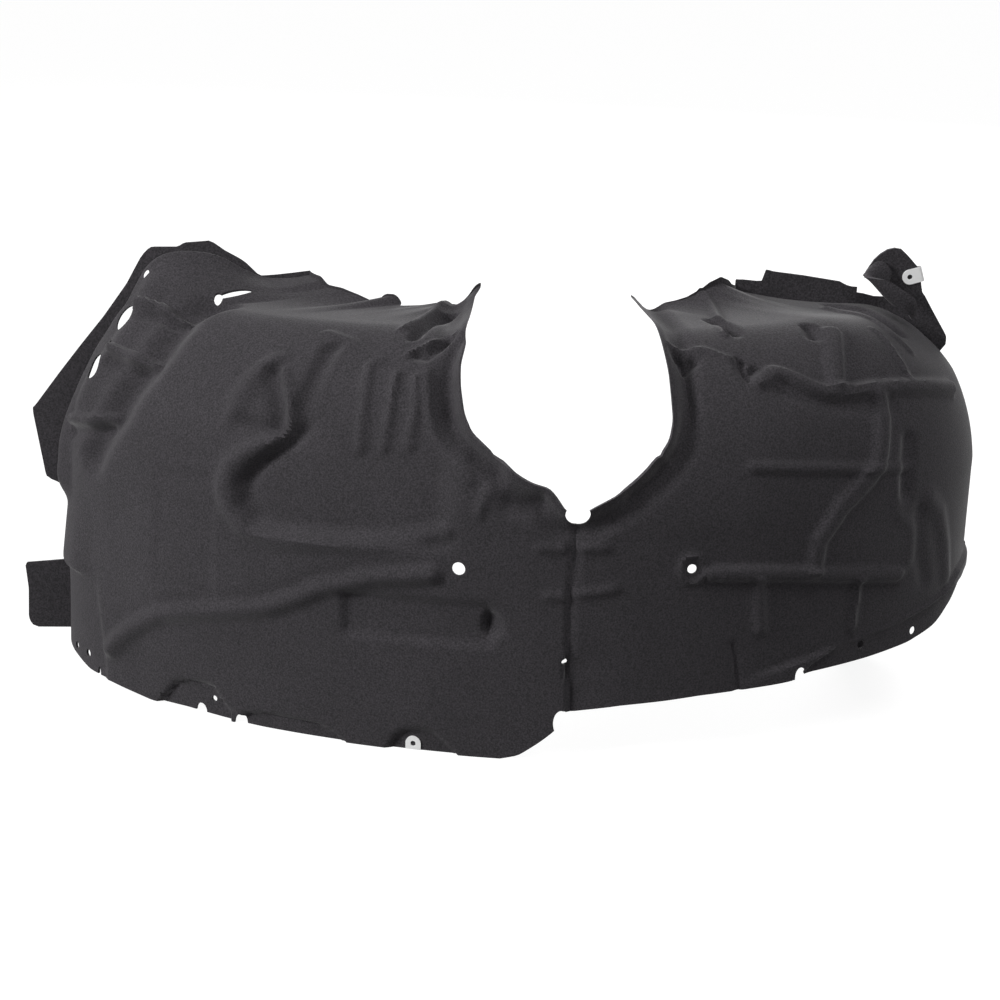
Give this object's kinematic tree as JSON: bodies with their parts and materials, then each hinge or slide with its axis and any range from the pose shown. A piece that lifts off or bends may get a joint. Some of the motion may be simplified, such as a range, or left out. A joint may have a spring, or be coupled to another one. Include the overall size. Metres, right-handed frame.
{
  "type": "wheel arch liner",
  "caption": "Moulded felt wheel arch liner: domed lobes either side of a live hinge, strut cut-out, ribbed relief, end flanges, lip fastening holes and spring clips.",
  "frame": {"origin": "centre of the bounding box, on the surface that the outboard lip stands on", "axes": "+Z along the wheel axis from the outboard lip to the inboard wall, +X from the larger lobe to the smaller one, +Y from the crown of the arch towards the wheel axis"},
  "size_m": [0.964, 0.2741, 0.4358],
  "materials": {
    "felt": "needle-punched felt, pressed, charcoal",
    "clip_steel": "zinc-plated spring steel"
  },
  "bodies": {
    "root": {"liner": "felt", "lip_clip": "clip_steel", "flap_clip": "clip_steel"}
  },
  "joints": []
}
